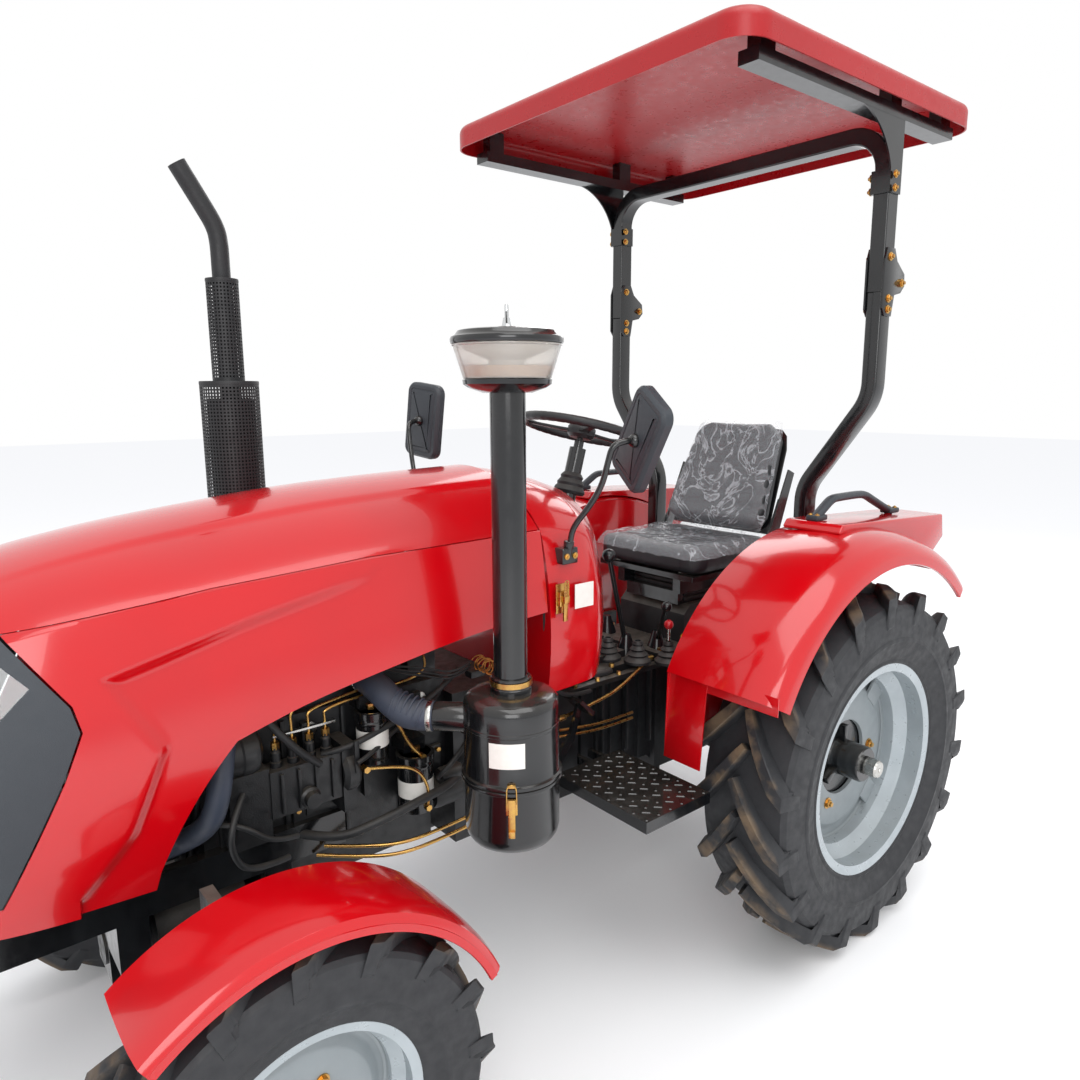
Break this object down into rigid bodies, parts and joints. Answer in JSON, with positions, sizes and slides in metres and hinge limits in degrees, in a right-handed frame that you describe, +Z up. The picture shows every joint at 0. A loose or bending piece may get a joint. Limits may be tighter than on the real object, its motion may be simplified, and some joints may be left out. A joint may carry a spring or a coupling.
{
  "type": "farm tractor",
  "caption": "Compact four-wheel-drive farm tractor with a tilting hood, steered front wheels, a folding roll bar with canopy, an open driver's seat and a rear three-point linkage.",
  "frame": {"origin": "centre of the length on the ground, on the centre plane", "axes": "+X forwards, +Y to the driver's left, +Z up; the wheels stand on z = 0"},
  "size_m": [3.3899, 1.6032, 2.565],
  "materials": {
    "black_casting": "painted casting",
    "black_paint": "semi-gloss enamel",
    "black_rubber": "matte",
    "red_paint": "gloss enamel",
    "black_plastic": "moulded grain",
    "red_lens": "clear red",
    "clear_bowl": "milky translucent",
    "seat_vinyl": "grained vinyl",
    "lamp_glass": "clear",
    "fan_plastic": "moulded",
    "tyre_rubber": "moulded",
    "grey_wheel": "semi-gloss silver-grey paint",
    "bare_steel": "machined",
    "gloss_black_plastic": "gloss"
  },
  "bodies": {
    "chassis": {"rear_axle": "black_casting", "gearbox": "black_casting", "engine": "black_casting", "engine_filters": "black_paint", "front_axle": "black_casting", "front_frame": "black_paint", "radiator": "black_paint", "hoses": "black_rubber", "hitch_frame": "black_paint", "fender_left": "red_paint", "fender_right": "red_paint", "fender_handles": "black_plastic", "tail_lamps": "red_lens", "cowl": "red_paint", "steering_column": "black_paint", "air_cleaner": "black_paint", "precleaner_bowl": "clear_bowl", "exhaust_pipe": "black_paint", "exhaust_shields": "black_paint", "mirrors": "black_plastic", "seat_frame": "black_paint", "seat_cushion": "seat_vinyl", "seat_back": "seat_vinyl", "footplates": "black_paint", "pedals": "black_paint", "gear_levers": "black_paint", "roll_bar_posts": "black_paint"},
    "hood": {"hood_top": "red_paint", "hood_sides": "red_paint", "nose_bezel": "black_plastic", "headlamps": "lamp_glass", "grille": "black_plastic", "hood_hinge": "black_paint"},
    "fan": {"cooling_fan": "fan_plastic"},
    "rear_wheel_left": {"rear_tyre_left": "tyre_rubber", "rear_wheel_left": "grey_wheel", "rear_hub_left": "bare_steel"},
    "rear_wheel_right": {"rear_tyre_right": "tyre_rubber", "rear_wheel_right": "grey_wheel", "rear_hub_right": "bare_steel"},
    "knuckle_left": {"knuckle_left": "black_casting", "front_fender_left": "red_paint"},
    "knuckle_right": {"knuckle_right": "black_casting", "front_fender_right": "red_paint"},
    "front_wheel_left": {"front_tyre_left": "tyre_rubber", "front_wheel_left": "grey_wheel", "front_hub_left": "black_casting"},
    "front_wheel_right": {"front_tyre_right": "tyre_rubber", "front_wheel_right": "grey_wheel", "front_hub_right": "black_casting"},
    "tie_rod": {"tie_rod": "bare_steel"},
    "steering_wheel": {"steering_wheel": "gloss_black_plastic"},
    "roll_hoop": {"roll_bar_hoop": "black_paint", "canopy": "red_paint"},
    "lift_arms": {"lift_arms": "black_casting"},
    "lift_rods": {"lift_rods": "black_paint"},
    "lower_links": {"lower_links": "black_paint"}
  },
  "joints": [
    {"name": "rear_wheel_left_spin", "type": "hinge", "parent": "chassis", "child": "rear_wheel_left", "pos_m": [-0.745, 0.65, 0.552], "axis": [0, 1, 0], "continuous": true},
    {"name": "rear_wheel_right_spin", "type": "hinge", "parent": "chassis", "child": "rear_wheel_right", "pos_m": [-0.745, -0.65, 0.552], "axis": [0, 1, 0], "continuous": true},
    {"name": "steer_left", "type": "hinge", "parent": "chassis", "child": "knuckle_left", "pos_m": [1.02, 0.468, 0.38], "axis": [0, 0, 1], "range_deg": [-35, 35]},
    {"name": "steer_right", "type": "hinge", "parent": "chassis", "child": "knuckle_right", "pos_m": [1.02, -0.468, 0.38], "axis": [0, 0, 1], "range_deg": [-35, 35]},
    {"name": "front_wheel_left_spin", "type": "hinge", "parent": "knuckle_left", "child": "front_wheel_left", "pos_m": [1.02, 0.632, 0.38], "axis": [0, 1, 0], "continuous": true},
    {"name": "front_wheel_right_spin", "type": "hinge", "parent": "knuckle_right", "child": "front_wheel_right", "pos_m": [1.02, -0.632, 0.38], "axis": [0, 1, 0], "continuous": true},
    {"name": "tie_rod_swing", "type": "hinge", "parent": "knuckle_left", "child": "tie_rod", "pos_m": [0.87, 0.468, 0.352], "axis": [0, 0, 1], "range_deg": [-36, 36]},
    {"name": "steering_wheel_turn", "type": "hinge", "parent": "chassis", "child": "steering_wheel", "pos_m": [-0.225, 0, 1.5], "axis": [-0.2713, 0, 0.9625], "range_deg": [-425, 425]},
    {"name": "hood_tilt", "type": "hinge", "parent": "chassis", "child": "hood", "pos_m": [1.451, 0, 0.772], "axis": [0, 1, 0], "range_deg": [0, 65]},
    {"name": "roll_bar_fold", "type": "hinge", "parent": "chassis", "child": "roll_hoop", "pos_m": [-1.035, 0, 1.998], "axis": [0, 1, 0], "range_deg": [-120, 0]},
    {"name": "lift", "type": "hinge", "parent": "chassis", "child": "lift_arms", "pos_m": [-0.91, 0, 0.896], "axis": [0, 1, 0], "range_deg": [-20, 35]},
    {"name": "lower_link_swing", "type": "hinge", "parent": "chassis", "child": "lower_links", "pos_m": [-0.84, 0, 0.392], "axis": [0, 1, 0], "range_deg": [-15.5, 27]},
    {"name": "lift_rod_swing", "type": "hinge", "parent": "lift_arms", "child": "lift_rods", "pos_m": [-1.1592, 0, 0.916], "axis": [0, 1, 0], "range_deg": [-33, 19]},
    {"name": "fan_spin", "type": "hinge", "parent": "chassis", "child": "fan", "pos_m": [1.093, 0, 0.86], "axis": [1, 0, 0], "continuous": true}
  ],
  "couplings": [
    {"joint": "steer_right", "follows": "steer_left", "ratio": 1},
    {"joint": "tie_rod_swing", "follows": "steer_left", "ratio": -1},
    {"joint": "steering_wheel_turn", "follows": "steer_left", "ratio": 12},
    {"joint": "lower_link_swing", "follows": "lift", "ratio": 0.755},
    {"joint": "lift_rod_swing", "follows": "lift", "ratio": -0.93}
  ]
}
